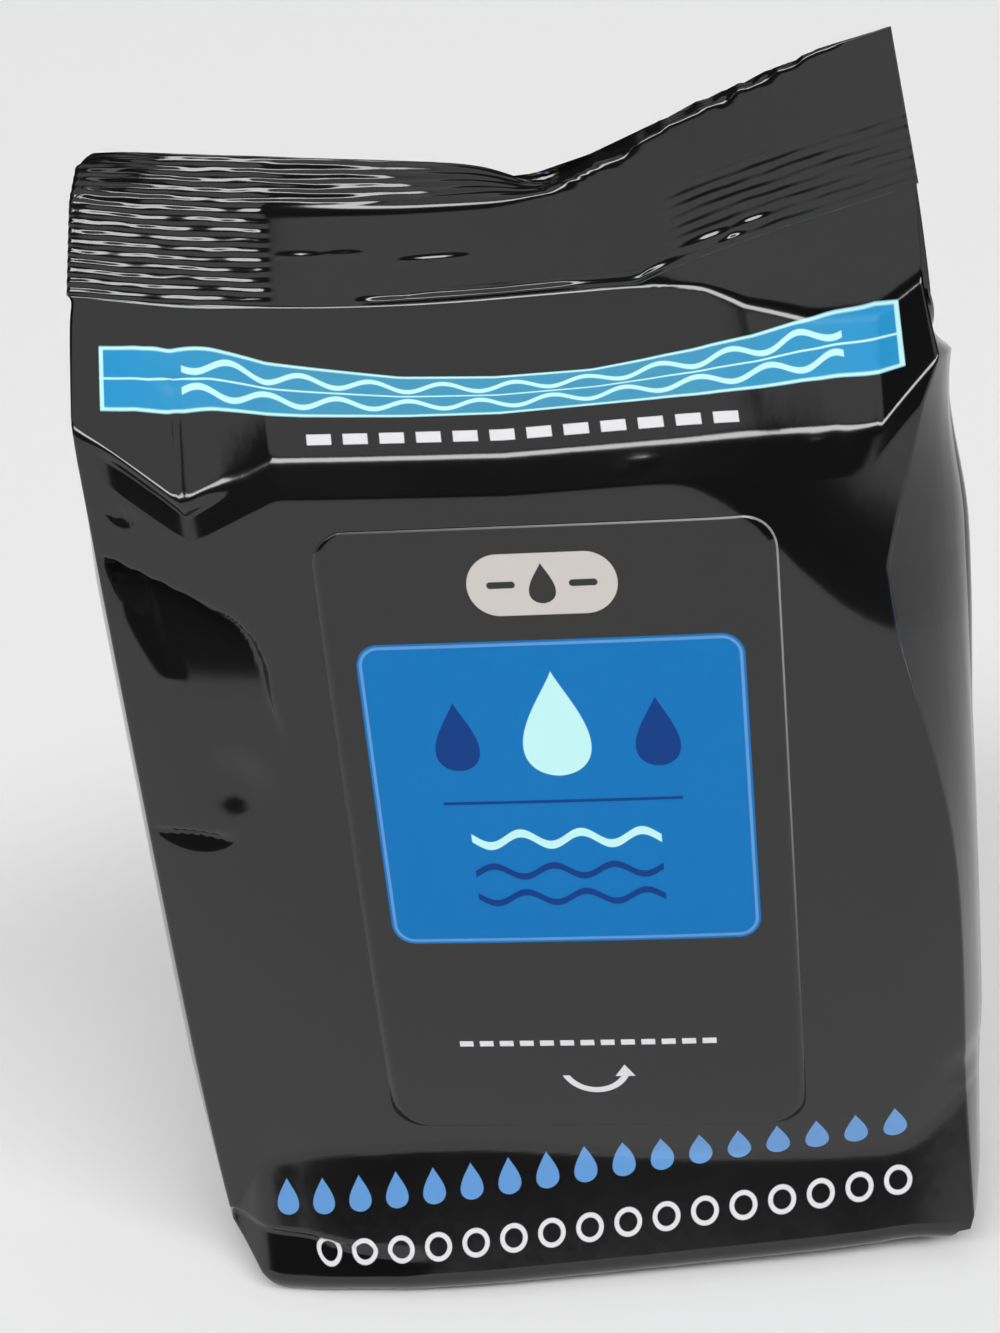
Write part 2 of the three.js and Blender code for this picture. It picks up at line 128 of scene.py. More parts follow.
def dents(x, z):
    """Depth of the dents in the front panel."""
    lip = np.interp(x, [-54, -44.3, -36.9, -30], [115.8, 110.5, 105.7, 101.2])
    end = np.interp(z, [86, 94, 99, 102.4, 105.7], [-31.5, -33.2, -33.4, -34.4, -36.5])
    beside = x - np.interp(z, [97.4, 103.3, 115], [-47.1, -49, -52.6])
    thumb_slope, thumb_start, thumb_soft, lip_run, end_run = 0.33, 94, 7, 1.2, 1.5
    thumb = thumb_slope * ramp(z - thumb_start, thumb_soft) * ease(z, 82, 93)
    thumb = thumb * ease(lip - z, 0, lip_run) * ease(end - x, 0, end_run)
    thumb = thumb * mix(0.15, 1, ease(beside, -2.8, 2.2)) * ease(x, -54.1, -51.6)
    sweep_line = [(-56, 9.5), (-53, 11), (-51, 14), (-49, 17.3), (-42, 20.5), (-30, 21.8), (-19, 22.1),
                  (2, 20.3), (16, 18.7), (30, 17.6), (38, 17.2), (46, 17.8), (50, 21), (56, 27)]
    above = z - curve(sweep_line, x)
    sweep_depth, sweep_run = 4.0, 25
    forward = mix(0.42, 0.36, ease(x, 40, 54)) * ramp(-above, 0.5)
    sweep = sweep_depth * np.exp(-np.maximum(above, 0) / sweep_run) - forward
    corner = fold(x, z, [(-80, 12), (-53, 10.6), (-41, 10.1), (-35, 9), (-22, 7)], 1.6, 1.4, 12)
    pocket = fold(x, z, [(-54.5, 76.2), (-47, 75.5), (-40.5, 74.4)], 1.5, 0.6, 3.4)
    ear_pocket = fold(x, z, [(-52.4, 121.9), (-46.8, 120.6)], 1.0, 0.6, 2.4)
    nick = fold(x, z, [(49.5, 30.4), (63, 31.4)], 1.4, 0.6, 5)
    shallow = dimple(x, z, (-41, 82.4), (7.5, 7), 1.6)
    return thumb + slack(x, z) + sweep + corner + pocket + ear_pocket + nick + shallow


def face_depth(x, z, side):
    """Distance of a panel's face from the middle plane of the pack."""
    across = np.clip(x / half, -1, 1)
    between_ends = np.sin(np.pi * np.clip(z / stack_height, 0, 1))
    swell = panel_crown * (1 - across**2) * between_ends
    face = depth / 2 + swell - crease_setback * across**4
    if side == FRONT:
        return face - dents(x, z)
    seam = np.clip((seam_width / 2 + seam_step - np.abs(x)) / seam_step, 0, 1)
    ribs = seam_rib_height * seam * np.cos(np.pi * x / seam_rib)
    wavy = 0.35 * np.sin(0.09 * x + 0.045 * z + 1) * between_ends * (1 - across**4)
    pulls = fold(x, z, [(-52, 108), (-34, 101), (-10, 98)], 0.7, 1.6, 12)
    pulls = pulls + fold(x, z, [(14, 26), (34, 20), (52, 13)], 0.8, 1.6, 10)
    pulls = pulls + fold(x, z, [(22, 112), (40, 109), (53, 103)], 0.6, 1.6, 9)
    return face + seam_thickness * seam + ribs + wavy * (1 - seam) - pulls


def top_edge(u, side):
    """x, z and distance from the middle plane along a panel's top edge."""
    corner = stack_height + (corner_rise if side == FRONT else back_corner_rise)
    dip = ear_drop if side == FRONT else 0
    places = [-1, ear_tip, ear_end, 0, tuck, 1]
    heights = [corner, stack_height - dip, stack_height + dip / 2, stack_height, stack_height, corner]
    z = np.interp(u, places, heights)
    x = across_panel(u, z, side)
    if side == BACK:
        return x, z, face_depth(x, z - top_bevel, side) - top_lean
    near = np.clip(1 - np.abs(u - ear_tip) * half / ear_inset, 0, 1)
    near = np.where(u < ear_tip, near, near**2.5)
    z = z - 0.4 * slack(x, z - top_bevel)
    lean = top_lean * mix(0.2, 1, ease(u, -0.78, -0.66)) * mix(1, 0.5, ease(u, tuck - 0.12, tuck - 0.01))
    return x, z, face_depth(x, z - top_bevel, side) - lean + ear_reach * near


def stacked(x, y, z):
    """Points from arrays of their x, y and z."""
    return np.stack(np.broadcast_arrays(x, y, z), -1)


def crimp_strength(u, h):
    """The jaws bite deepest where the gussets double the film, and along the top of the middle."""
    four_layers = 1 - ease(u, -0.53, -0.515)
    top = ease(h, 12.6, 13.4) * (1 - ease(u, 0.13, 0.2))
    root = (1 - ease(h, 1.3, 1.9)) * ease(u, -0.28, -0.22) * (1 - ease(u, 0.34, 0.42))
    right = 0.2 * ease(u, 0.42, 0.5) * (1 - ease(h, 8, 10))
    return np.maximum.reduce([four_layers, 0.9 * top, 0.8 * root, right])


def weld_lean(u, h):
    """How far the top weld leans back. It is folded over along a line that climbs to the right."""
    low = [(-1, 16), (-0.8, 11), (-0.58, 9), (-0.45, 5), (0.1, 5), (0.3, 5), (0.6, 5), (1, 2)]
    high = [(-1, 42), (-0.85, 24), (-0.7, 14), (-0.58, 12), (-0.5, 20), (-0.26, 38),
            (0, 62), (0.14, 86), (0.3, 80), (1, 70)]
    line = np.interp(u, [0.1, 0.16, 0.31, 0.41, 0.63, 0.86, 1], [12.1, 12.3, 15.4, 16.4, 17.3, 18.8, 20.2])
    line = line + ease(u, 0.16, 0.3) * (0.16 * np.sin(71 * u) + 0.12 * np.sin(127 * u + 1))
    soft = mix(1.2, 0.35, ease(u, 0.02, 0.16))
    for soft_spot in (0.2, 0.31, 0.36, 0.61, 0.71):
        soft = soft + 0.9 * np.exp(-(((u - soft_spot) / 0.015) ** 2))
    lean = mix(curve(low, u), curve(high, u), ease(h - line, -soft, soft))
    return np.radians(np.maximum(lean, 0.5))


# Short ridges that the jaws left in the front of the weld: first and last place across, height, lift, spread.
weld_ridges = [(-0.46, -0.4, 6.5, 0.2, 0.35), (-0.35, -0.3, 6.7, 0.18, 0.3), (-0.18, -0.05, 5.5, 0.2, 0.35),
               (-0.29, -0.2, 0.5, 0.4, 0.45), (-0.18, 0.2, 0.6, 0.45, 0.5), (0.36, 0.43, 0.6, 0.3, 0.4),
               (0.5, 0.56, 1.8, 0.3, 0.5), (0.565, 0.6, 0.8, 0.3, 0.4), (0.61, 0.66, 2.0, 0.2, 0.4)]


def seal_point(u, h, side, crimped=True):
    """A point of the top weld, h above its root. The outer top corner at the left is cut round."""
    corner_cut, kink, steps = 0.09, 0.36, 24
    h = h * (1 - corner_cut * ease(-u, 0.95, 1) ** 2)
    lean = weld_lean(u, h)
    leans_below = weld_lean(u, (np.arange(steps)[:, None] + 0.5) / steps * h)
    root_z = stack_height + shoulder_rise + left_lift * np.minimum(0, u) ** 2
    root_z = root_z + right_lift * np.clip((u - kink) / (1 - kink), 0, 1) ** 0.8
    phase = h + 0.06 * np.sin(23 * u + 0.7 * h) + 0.03 * np.sin(61 * u - 0.4 * h)
    wave = np.arcsin(-0.96 * np.cos(2 * np.pi * phase / crimp_pitch)) * 2 / np.pi
    uneven = 1 + 0.3 * np.sin(27 * u + 1.7 * h) + 0.15 * np.sin(71 * u - 2.3 * h)
    off = crimp_strength(u, h) * uneven * crimped * crimp_depth / 2 * wave
    off = off - side * seal_thickness / 2
    if side == FRONT:
        for first, last, level, lift, spread in weld_ridges:
            along = ease(u, first - 0.01, first + 0.01) * (1 - ease(u, last - 0.01, last + 0.01))
            ridge = lift * np.exp(-(((h - level) / spread) ** 2)) * ease(h, 0, 0.3)
            off = off + crimped * along * ridge
    x = seal_shift + u * (seal_width / 2 - seal_rake * h / seal_height)
    y = seal_setback * (1 - u) / 2 + h * np.sin(leans_below).mean(0) - off * np.cos(lean)
    z = root_z + h * np.cos(leans_below).mean(0) + off * np.sin(lean)
    return stacked(x, y, z)


# Small puckers on the shoulder: place across, level, half width, height down the slope, lift.
puckers = [(-0.765, 0.62, 3.0, 0.1, 0.9), (-0.86, 0.75, 2.2, 0.05, 0.35), (-0.8, 0.735, 1.5, 0.04, 0.3),
           (-0.45, 0.75, 1.5, 0.05, 0.3)]


def shoulder_point(u, share, side):
    """From the rounded top edge, flat up to a bend, then steep to the root of the weld."""
    x, z, out = top_edge(u, side)
    start = stacked(x, side * out, z)
    root = seal_point(u, 0, side, False)
    bend_out = np.interp(u, [0.36, 0.5, 0.6, 0.75, 1], [0.985, 0.985, 0.975, 0.96, 0.95])
    bend_up = np.interp(u, [0.36, 0.5, 0.6, 0.75, 1], [0.96, 0.8, 0.62, 0.48, 0.43])
    bend = mix(start, root, stacked(0.5, bend_out, bend_up))
    hold = mix(4, 30, ease(u, 0.36, 0.5))[..., None]
    first_share, bend_share = 0.04, 0.78
    share = mix(first_share, 1, share)
    near = np.where(share < bend_share, share / bend_share, (1 - share) / (1 - bend_share))
    near = near * hold / (1 + hold)
    t = (1 - np.sqrt(1 - 2 * near / (hold * (1 - near) + near))) / 2
    t = np.where(share < bend_share, t, 1 - t)
    point = (1 - t) ** 2 * start + 2 * hold * t * (1 - t) * bend + t**2 * root
    point = point / ((1 - t) ** 2 + 2 * hold * t * (1 - t) + t**2)
    share = np.broadcast_to(share, point.shape)[..., 0]
    point[..., 0] = mix(start[..., 0], root[..., 0], share)
    if side == BACK:
        point[..., 0] += back_spread * 4 * share * (1 - share) * ease(u, 0.6, 1)
        return point
    ridge_lift, ridge_width, outward = 0.5, 0.6, np.array([0, -0.72, 0.69])
    ear_ridge = ridge_lift * np.exp(-(((u - ear_tip) * half / ridge_width) ** 2))
    rise = ear_ridge * (1 - ease(share, 0.4, 0.6)) * ease(share, 0.04, 0.08)
    for at, level, wide, tall, lift in puckers:
        below = (level - share) / tall
        beside = np.clip(1 - np.abs(u - at) * half / wide, 0, 1)
        rise = rise + lift * beside * ease(below, -0.12, 0.12) * np.clip(1 - below, 0, 1)
    return point + rise[..., None] * outward


def wall_point(u, t, side):
    """From the foot's rounding up to the strip under the top edge."""
    lift = foot_lift * (1 + u) / 2 if side == FRONT else 0
    z = mix(lift + base_radius, top_edge(u, side)[1] - top_bevel, t)
    x = across_panel(u, z, side)
    return stacked(x, side * face_depth(x, z, side), z)


# Small marks in the film under the top edge: place across, level, half width, lift.
glints = [(0.31, 0.56, 1.2, 0.16), (0.28, 0.36, 0.8, 0.12), (0.72, 0.7, 1.8, 0.16)]


def strip_point(u, t, side):
    """The flat strip under the top edge, with the film drawn in under the ear."""
    x, z, out = top_edge(u, side)
    low, high = wall_point(u, 1, side), stacked(x, side * out, z)
    point = mix(low, high, t)
    if side == FRONT:
        t = np.broadcast_to(t, point.shape)[..., 0]
        slant = 0.32 - 0.2 * np.clip(1 - np.abs(u - ear_tip) * half / 4, 0, 1) ** 2
        drawn_in = 0.7 * np.maximum(0, slant * top_bevel - (high - low)[..., 1])
        drawn_in = drawn_in * ease(u, -1, -0.88) * (1 - ease(u, -0.6, -0.5))
        point[..., 1] += drawn_in * np.minimum(t / 0.7, (1 - t) / 0.3)
        for at, level, wide, lift in glints:
            point[..., 1] -= lift * np.exp(-(((u - at) * half / wide) ** 2) - ((t - level) / 0.1) ** 2)
    return point


def strip_end(u):
    """Where the flat strip ends and the rounding of the top edge, widest at the ear, begins."""
    return 1 - top_radius / top_bevel * mix(1.6, 1, ease(u, -0.72, -0.5))[..., None]


def strip_row(u, share, side):
    """The strip at a share of its way up to the rounding."""
    return strip_point(u, share * strip_end(u), side)


def edge_point(u, t, side):
    """The rounding of the top edge, from the strip to the shoulder."""
    x, z, out = top_edge(u, side)
    low = strip_point(u, strip_end(u), side)
    high = shoulder_point(u, 0.03 * (1 - ease(u, -0.72, -0.5))[..., None], side)
    return (1 - t) ** 2 * low + 2 * t * (1 - t) * stacked(x, side * out, z) + t**2 * high


def foot_point(u, angle, side):
    """The rounding of the foot, which lifts off the ground to the right in front."""
    rise = base_radius * (1 - np.sin(angle))
    lift = foot_lift * (1 + u) / 2 if side == FRONT else 0
    x = across_panel(u, rise, side)
    out = face_depth(x, base_radius + lift, side) - base_radius * (1 - np.cos(angle))
    return stacked(x, side * out, rise + lift)


def base_point(u, step, side):
    """The bottom weld lies folded flat to the back. The front stands on a strip along its edge."""
    inner = np.abs(foot_point(u, np.pi / 2, side)[..., 1]) - foot_strip
    lift = foot_lift * (1 + u) / 2
    edge = depth / 2 - crease_setback - base_radius - foot_margin
    front = [(foot_root, foot_fold), (inner - 1, foot_fold + lift), (inner, lift)]
    back = [(-foot_root, 0), (edge, 0), (edge + foot_fold / 2, foot_fold)]
    out, z = front[step] if side == FRONT else back[step]
    return stacked(across_panel(u, 0, side), side * out, z)


def spaced(*runs):
    """Stations over several runs, each (start, end, count), with the last end."""
    stops = [np.linspace(a, b, n, endpoint=False) for a, b, n in runs]
    return np.concatenate([*stops, [runs[-1][1]]])


front_columns = spaced((-1, -0.95, 6), (-0.95, ear_tip, 26), (ear_tip, -0.55, 22), (-0.55, -0.5, 5),
                       (-0.5, 0.5, 44), (0.5, 0.57, 3), (0.57, 0.7, 14), (0.7, tuck, 16), (tuck, 0.96, 10),
                       (0.96, 1, 6))
seam_edge = (seam_width / 2 + seam_step) / half
back_columns = spaced((-1, -0.95, 4), (-0.95, -seam_edge, 16), (-seam_edge, -seam_width / width, 2),
                      (-seam_width / width, seam_width / width, 20), (seam_width / width, seam_edge, 2),
                      (seam_edge, 0.95, 16), (0.95, 1, 4))
gusset_half = spaced((0, 0.06, 4), (0.06, 0.2, 3), (0.2, 0.42, 2), (0.42, 0.5, 3))[1:]
gusset_columns = np.concatenate([gusset_half, 1 - gusset_half[-2::-1]])

# Levels of film from the ground up: the zone, the function that makes its points, the place of the level in
# that zone, and how far the side gussets swell out and are tucked in there. A crimp has nine levels.
levels = []
for corner in range(3):
    levels.append(("base", base_point, corner, 0.4 + 0.5 * corner, 0.0))
for angle in np.linspace(np.pi / 2, 0, 8, endpoint=False):
    levels.append(("foot", foot_point, angle, 2.2, 0.0))
wall_low, wall_high = 3, 124
wall_rows = spaced((wall_low, 8, 6), (8, 16, 20), (16, 25, 14), (25, 70, 22), (70, 78, 15), (78, 92, 11),
                   (92, 120, 44), (120, wall_high, 4))
for t in (wall_rows - wall_low) / (wall_high - wall_low):
    swell = side_bulge * (0.6 + 0.4 * min(1, t * 4)) * (1 - 0.4 * ease(t, 0.85, 1))
    levels.append(("wall", wall_point, t, swell, 0.0))
top_bulge = side_bulge * 0.6
for share in np.linspace(0, 1, 11)[1:-1]:
    levels.append(("wall", strip_row, share, top_bulge, 0.0))
for t in np.linspace(0, 1, 7):
    levels.append(("edge", edge_point, t, top_bulge, 0.0))
for share in np.linspace(0, 1, 37)[2:]:
    swell, tuck_in = top_bulge * (1 - share) ** 2, gusset_depth * share**1.6
    levels.append(("shoulder", shoulder_point, share, swell, tuck_in))
for h in np.linspace(0, seal_height, 15 * 9)[1:]:
    levels.append(("seal", seal_point, h, seal_thickness / 2, 0.0))


def gusset_row(zone, make, place, swell, tuck_in, sign):
    """One level of a side gusset from the front crease to the back one, with the fold line in its middle."""
    s = gusset_columns
    inward = 1 - np.abs(2 * s - 1)
    u = sign * (1 - tuck_in / half * inward)
    end = np.array([float(sign)])
    drawn_in = sign * (make(end, place, BACK)[0, 0] - make(end, place, FRONT)[0, 0]) / 2
    bulge = swell + (max(0, drawn_in) if tuck_in == 0 and zone != "seal" else 0)
    row = mix(make(u, place, FRONT), make(u, place, BACK), s[:, None])
    row[:, 0] += sign * bulge * (inward if zone == "seal" else 4 * s * (1 - s))
    if zone in ("wall", "edge"):
        row[:, 0] -= sign * fold_line_depth * np.exp(-np.abs(s - 0.5) / fold_line_width)
    return row


# The printed band over the shoulder: its lower and upper edges, in millimetres up from the top edge.
band_stations = [-54, -46, -40.9, -29.1, -25, -12, 0, 12, 25, 38, 48.5, 54]
band_low = np.interp(front_columns * half, band_stations,
                     [2.8, 10.2, 14.1, 6.4, 6.1, 5.7, 5.7, 5.8, 5.9, 6.8, 7, 0.4])
band_high = np.interp(front_columns * half, band_stations,
                      [13.2, 20, 23.9, 14.6, 13.9, 11.8, 11.3, 11.1, 12.6, 15.3, 16.6, 8.7])

# The print is laid out on the flat film. A height there is the panel's own, or edge_mark and the way up the
# shoulder, or weld_mark and the way up the weld. The third number is 0 and 1 at the band's edges.
edge_mark, weld_mark, off_film, off_band = 200, 300, -100.0, -20.0
middle = len(gusset_columns) // 2 + 1
rows, prints = [], []
for zone, make, place, swell, tuck_in in levels:
    left = gusset_row(zone, make, place, swell, tuck_in, -1)
    right = gusset_row(zone, make, place, swell, tuck_in, 1)
    front, back = make(front_columns, place, FRONT), make(back_columns[::-1], place, BACK)
    rows.append(np.vstack([left[:middle][::-1], front, right, back, left[middle:][::-1]]))
    height, band = front[:, 2], np.full(len(front), off_band)
    if zone == "edge":
        edge_x, edge_z, edge_out = top_edge(front_columns, FRONT)
        run = np.linalg.norm(front - stacked(edge_x, -edge_out, edge_z), axis=1) * np.sign(place - 0.5)
        height = edge_mark + run
    elif zone == "shoulder":
        run = run + np.linalg.norm(front - last, axis=1)
        height, band = edge_mark + run, (run - band_low) / (band_high - band_low)
    elif zone == "seal":
        height = weld_mark + place
    last = front
    flat = np.full((len(rows[-1]), 3), (0.0, off_film, off_band))
    flat[middle:middle + len(front)] = stacked(front_columns * half, height, band)
    prints.append(flat)
film, printed = np.array(rows), np.array(prints)
ring = film.shape[1]

faces = []
for level in range(len(film) - 1):
    low = level * ring
    for k in range(ring):
        n = (k + 1) % ring
        faces.append((low + k, low + n, low + ring + n, low + ring + k))


def close_end(start, up):
    """Triangles across a flat end, taking the front and the back points in turn by how far along they are."""
    turn = len(front_columns) + 2 * middle
    front, back = list(range(turn)), [0, *range(ring - 1, turn - 2, -1)]
    share = [np.linspace(0, 1, len(side)) for side in (front, back)]
    i = j = 0
    while i < len(front) - 1 or j < len(back) - 1:
        if j == len(back) - 1 or (i < len(front) - 1 and share[0][i + 1] <= share[1][j + 1]):
            corner = (front[i], front[i + 1], back[j])
            i += 1
        else:
            corner = (front[i], back[j + 1], back[j])
            j += 1
        if len(set(corner)) == 3:
            faces.append(tuple(start + c for c in (corner if up else corner[::-1])))


close_end(0, False)
close_end((len(film) - 1) * ring, True)

mesh = bpy.data.meshes.new("film_pouch")
mesh.from_pydata((film.reshape(-1, 3) * 0.001).tolist(), [], faces)
mesh.attributes.new("film", "FLOAT_VECTOR", "POINT").data.foreach_set("vector", printed.ravel())
mesh.shade_smooth()
pouch = bpy.data.objects.new("film_pouch", mesh)
bpy.context.scene.collection.objects.link(pouch)


class Value:
    """A socket of a node tree. Sums with it add Math nodes, and node() adds any other node."""

    def __init__(self, tree, socket=None):
        self.tree, self.socket = tree, socket

    def node(self, kind, settings=None, sockets=None, output=0):
        made = self.tree.nodes.new(kind)
        for name, value in (settings or {}).items():
            setattr(made, name, value)
        for name, value in (sockets or {}).items():
            if isinstance(value, Value):
                self.tree.links.new(value.socket, made.inputs[name])
            else:
                made.inputs[name].default_value = value
        return Value(self.tree, made.outputs[output] if len(made.outputs) else None)

    def math(self, operation, *others):
        return self.node("ShaderNodeMath", {"operation": operation}, dict(enumerate((self, *others))))

    def split(self):
        parts = self.node("ShaderNodeSeparateXYZ", {}, {"Vector": self})
        return [Value(self.tree, socket) for socket in parts.socket.node.outputs]

    def above(self, low):
        return self.math("MAXIMUM", low)

    def below(self, high):
        return self.math("MINIMUM", high)

    def root(self):
        return self.math("SQRT")

    def __add__(self, other):
        return self.math("ADD", other)

    def __sub__(self, other):
        return self.math("SUBTRACT", other)

    def __rsub__(self, other):
        return self.math("MULTIPLY_ADD", -1.0, other)

    def __mul__(self, other):
        return self.math("MULTIPLY", other)

    def __truediv__(self, other):
        return self.math("DIVIDE", other)

    def __abs__(self):
        return self.math("ABSOLUTE")

    __radd__, __rmul__ = __add__, __mul__


def inked(distance, soft=0.12):
    """1 where the distance to a printed shape's outline is negative."""
    return (0.5 - distance / soft).above(0.0).below(1.0)


def wave_line(x, y, length, rise, thick):
    """A printed wave along y = 0: its length, the height of its crests and its thickness."""
    crest = (x * (2 * np.pi / length)).math("SINE") * rise
    return inked(abs(y - crest) - thick / 2)


def between(x, low, high):
    """1 from low to high."""
    return inked(abs(x - (low + high) / 2) - (high - low) / 2)


def dashes(x, y, pitch, length, thick):
    """A printed row of dashes along y = 0."""
    return inked(x.math("PINGPONG", pitch / 2) - length / 2) * inked(abs(y) - thick / 2)


def drop(x, y, wide, tall):
    """A printed water drop round the middle, its tip up."""
    up = y / (tall / 2)
    taper = ((1 - up) / 2).above(0.0).math("POWER", 0.75)
    body = (1 - up * up).above(0.0).root() * taper
    return inked(abs(x) + 0.1 - body * (wide / 1.4))


def plate(x, y, wide, tall, radius):
    """Distance to the outline of a printed plate with round corners."""
    over_x = (abs(x) - (wide / 2 - radius)).above(0.0)
    over_y = (abs(y) - (tall / 2 - radius)).above(0.0)
    return (over_x * over_x + over_y * over_y).root() - radius


def printed_in(colour, layers):
    """Ink colours laid one over another, each where its mask is 1."""
    for mask, ink in layers:
        colour = mask.node("ShaderNodeMix", {"data_type": "RGBA"}, {0: mask, 6: colour, 7: ink}, output=2)
    return colour


def new_material(name):
    """An empty material, and the start of its nodes."""
    material = bpy.data.materials.new(name)
    material.use_nodes = True
    material.node_tree.nodes.clear()
    return material, Value(material.node_tree)


def film_finish(start, colour, matt):
    """Gloss of the printed film: slightly uneven, with fine stretch lines, and duller on matt ink."""
    place = start.node("ShaderNodeTexCoord", output="Object")
    patches = start.node("ShaderNodeTexNoise", {}, {"Vector": place, "Scale": 45.0, "Detail": 3.0})
    stretched = start.node("ShaderNodeMapping", {}, {"Vector": place, "Scale": (1, 1, 0.15)})
    lines = start.node("ShaderNodeTexNoise", {}, {"Vector": stretched, "Scale": 520.0, "Detail": 2.0})
    relief = lines + patches * 2
    bumps = start.node("ShaderNodeBump", {}, {"Strength": 0.12, "Distance": 0.0002, "Height": relief})
    finishes = []
    for rough, index in ((0.08, 1.6), (0.3, 1.22)):
        sockets = {"Base Color": colour, "Roughness": rough + 0.1 * patches, "IOR": index, "Normal": bumps}
        finishes.append(start.node("ShaderNodeBsdfPrincipled", {}, sockets))
    surface = start.node("ShaderNodeMixShader", {}, {0: matt, 1: finishes[0], 2: finishes[1]})
    start.node("ShaderNodeOutputMaterial", {}, {"Surface": surface})


film_black = (0.003, 0.0027, 0.0032, 1)
film_haze = (0.0058, 0.0052, 0.0052, 1)
band_blue = (0.055, 0.27, 0.43, 1)
# Painted sheen: the deeper blue of the band's ends leaves its middle looking lighter, as if a soft reflection
# lay there.
band_blue_without_sheen = (0.02, 0.26, 0.52, 1)
pale_cyan = (0.48, 0.8, 0.8, 1)
navy = (0.004, 0.04, 0.2, 1)
sky_blue = (0.11, 0.28, 0.58, 1)
print_white = (0.66, 0.66, 0.68, 1)
material, start = new_material("black_film")
x, up, band = start.node("ShaderNodeAttribute", {"attribute_name": "film"}, output="Vector").split()
band_height, ripple_length, ripple_rise, ripple_thick = 7, 9.0, 0.7, 0.75
ripple_size = ripple_length, ripple_rise, ripple_thick
on_band = between(x, -50.4, 51.2) * inked(abs(band - 0.5) - 0.5, 0.03)
key_line = on_band * (1 - between(x, -49.9, 50.7) * inked(abs(band - 0.5) - 0.45, 0.03))
ripple_span = between(x, -40, 44) * on_band
band_up = band * band_height
ripple_high = wave_line(x, band_up - 5.0, *ripple_size) * ripple_span
ripple_low = wave_line(x + ripple_length / 2, band_up - 2.0, *ripple_size) * ripple_span
middle_line = inked(abs(band_up - band_height / 2) - 0.12) * on_band
under_band = dashes(x, up - (edge_mark + 2.6), 4.6, 3.1, 1.6) * between(x, -25.3, 29.9)
foot_pitch, ring_radius, ring_line = 5.5, 1.65, 0.66
aside = x.math("PINGPONG", foot_pitch / 2)
drops_up, rings_up = up - 18.5 - x * 0.0825, up - 9.85 - x * 0.068
foot_drops = drop(aside, drops_up, 3.5, 5.2) * between(x, -46.7, 46.7)
from_middle = (aside * aside + rings_up * rings_up).root()
foot_rings = inked(abs(from_middle - ring_radius) - ring_line / 2) * between(x, -41.2, 46.7)
place = start.node("ShaderNodeTexCoord", output="Object")
place = start.node("ShaderNodeMapping", {}, {"Vector": place, "Scale": (1, 1, 0.5)})
haze = start.node("ShaderNodeTexNoise", {}, {"Vector": place, "Scale": 24.0, "Detail": 2.0}) * 2.4 - 0.8
haze = haze.above(0.0).below(1.0)
# Painted sheen: the band turns to a deeper blue towards its ends, so its middle looks lighter, as if it
# caught a soft reflection.
band_sheen_fade = on_band * ((abs(x) - 22) / 26).above(0.0).below(1.0)
colour = printed_in(film_black, [(haze, film_haze), (on_band, band_blue), (band_sheen_fade, band_blue_without_sheen),
                                 (key_line, pale_cyan), (middle_line, pale_cyan),
                                 (ripple_high, pale_cyan), (ripple_low, pale_cyan), (under_band, print_white),
                                 (foot_drops, sky_blue), (foot_rings, print_white)])
film_finish(start, colour, on_band)
mesh.materials.append(material)
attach(pouch, "root")
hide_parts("pouch")

# The reseal label: a thin sticker of printed film, cut with round corners and stuck over the opening in the
# front panel. It is peeled back to take a wipe out, and pressed down again.
label_width, label_shift, label_top, label_foot, label_radius = 58.4, 3.1, 115.7, 25.0, 4.5
label_tilt, label_lean, label_lift, glue_lift = np.radians(-2.3), np.radians(-0.6), 0.2, 0.05
label_half_height, label_middle = (label_top - label_foot) / 2, (label_top + label_foot) / 2
corner = np.linspace(0, np.pi / 2, 9)
corner_up = label_half_height - label_radius * (1 - np.cos(corner))
corner_half = label_width / 2 - label_radius * (1 - np.sin(corner))
straight = np.linspace(-1, 1, 60)[1:-1] * (label_half_height - label_radius)
label_up = np.concatenate([-corner_up, straight, corner_up[::-1]])
label_half = np.concatenate([corner_half, np.full(len(straight), label_width / 2), corner_half[::-1]])
share = np.linspace(-1, 1, 41)
across, up = label_half[:, None] * share, label_up[:, None] + 0 * share
x = label_shift + across * np.cos(label_tilt) - up * np.sin(label_lean)
z = label_middle + across * np.sin(label_tilt) + up * np.cos(label_lean)
y = -face_depth(x, z, FRONT)
points = np.concatenate([stacked(x, y - lift, z).reshape(-1, 3) for lift in (label_lift, glue_lift)])
tall, wide = x.shape
index = np.arange(tall * wide).reshape(tall, wide)
faces = []
for i in range(tall - 1):
    for j in range(wide - 1):
        faces.append((index[i, j], index[i, j + 1], index[i + 1, j + 1], index[i + 1, j]))
faces += [tuple(tall * wide + k for k in face[::-1]) for face in faces]
rim = np.concatenate([index[0, :-1], index[:-1, -1], index[-1, :0:-1], index[:0:-1, 0]])
for a, b in zip(rim, np.roll(rim, -1)):
    faces.append((b, a, a + tall * wide, b + tall * wide))
label_mesh = bpy.data.meshes.new("reseal_label_print")
label_mesh.from_pydata((points * 0.001).tolist(), [], [tuple(int(k) for k in face) for face in faces])
label_flat = np.concatenate([stacked(across, up, 0.0).reshape(-1, 3)] * 2)
label_mesh.attributes.new("label", "FLOAT_VECTOR", "POINT").data.foreach_set("vector", label_flat.ravel())
label_mesh.shade_smooth()
label = bpy.data.objects.new("reseal_label_print", label_mesh)
bpy.context.scene.collection.objects.link(label)
panel_blue = (0.005, 0.153, 0.43, 1)
badge_grey = (0.53, 0.5, 0.48, 1)
edge_highlight_grey = (0.3, 0.3, 0.3, 1)
panel_width, panel_height, panel_radius = 49.6, 44.0, 3.0
badge_width, badge_height = 19.0, 8.2
material, start = new_material("label_film")
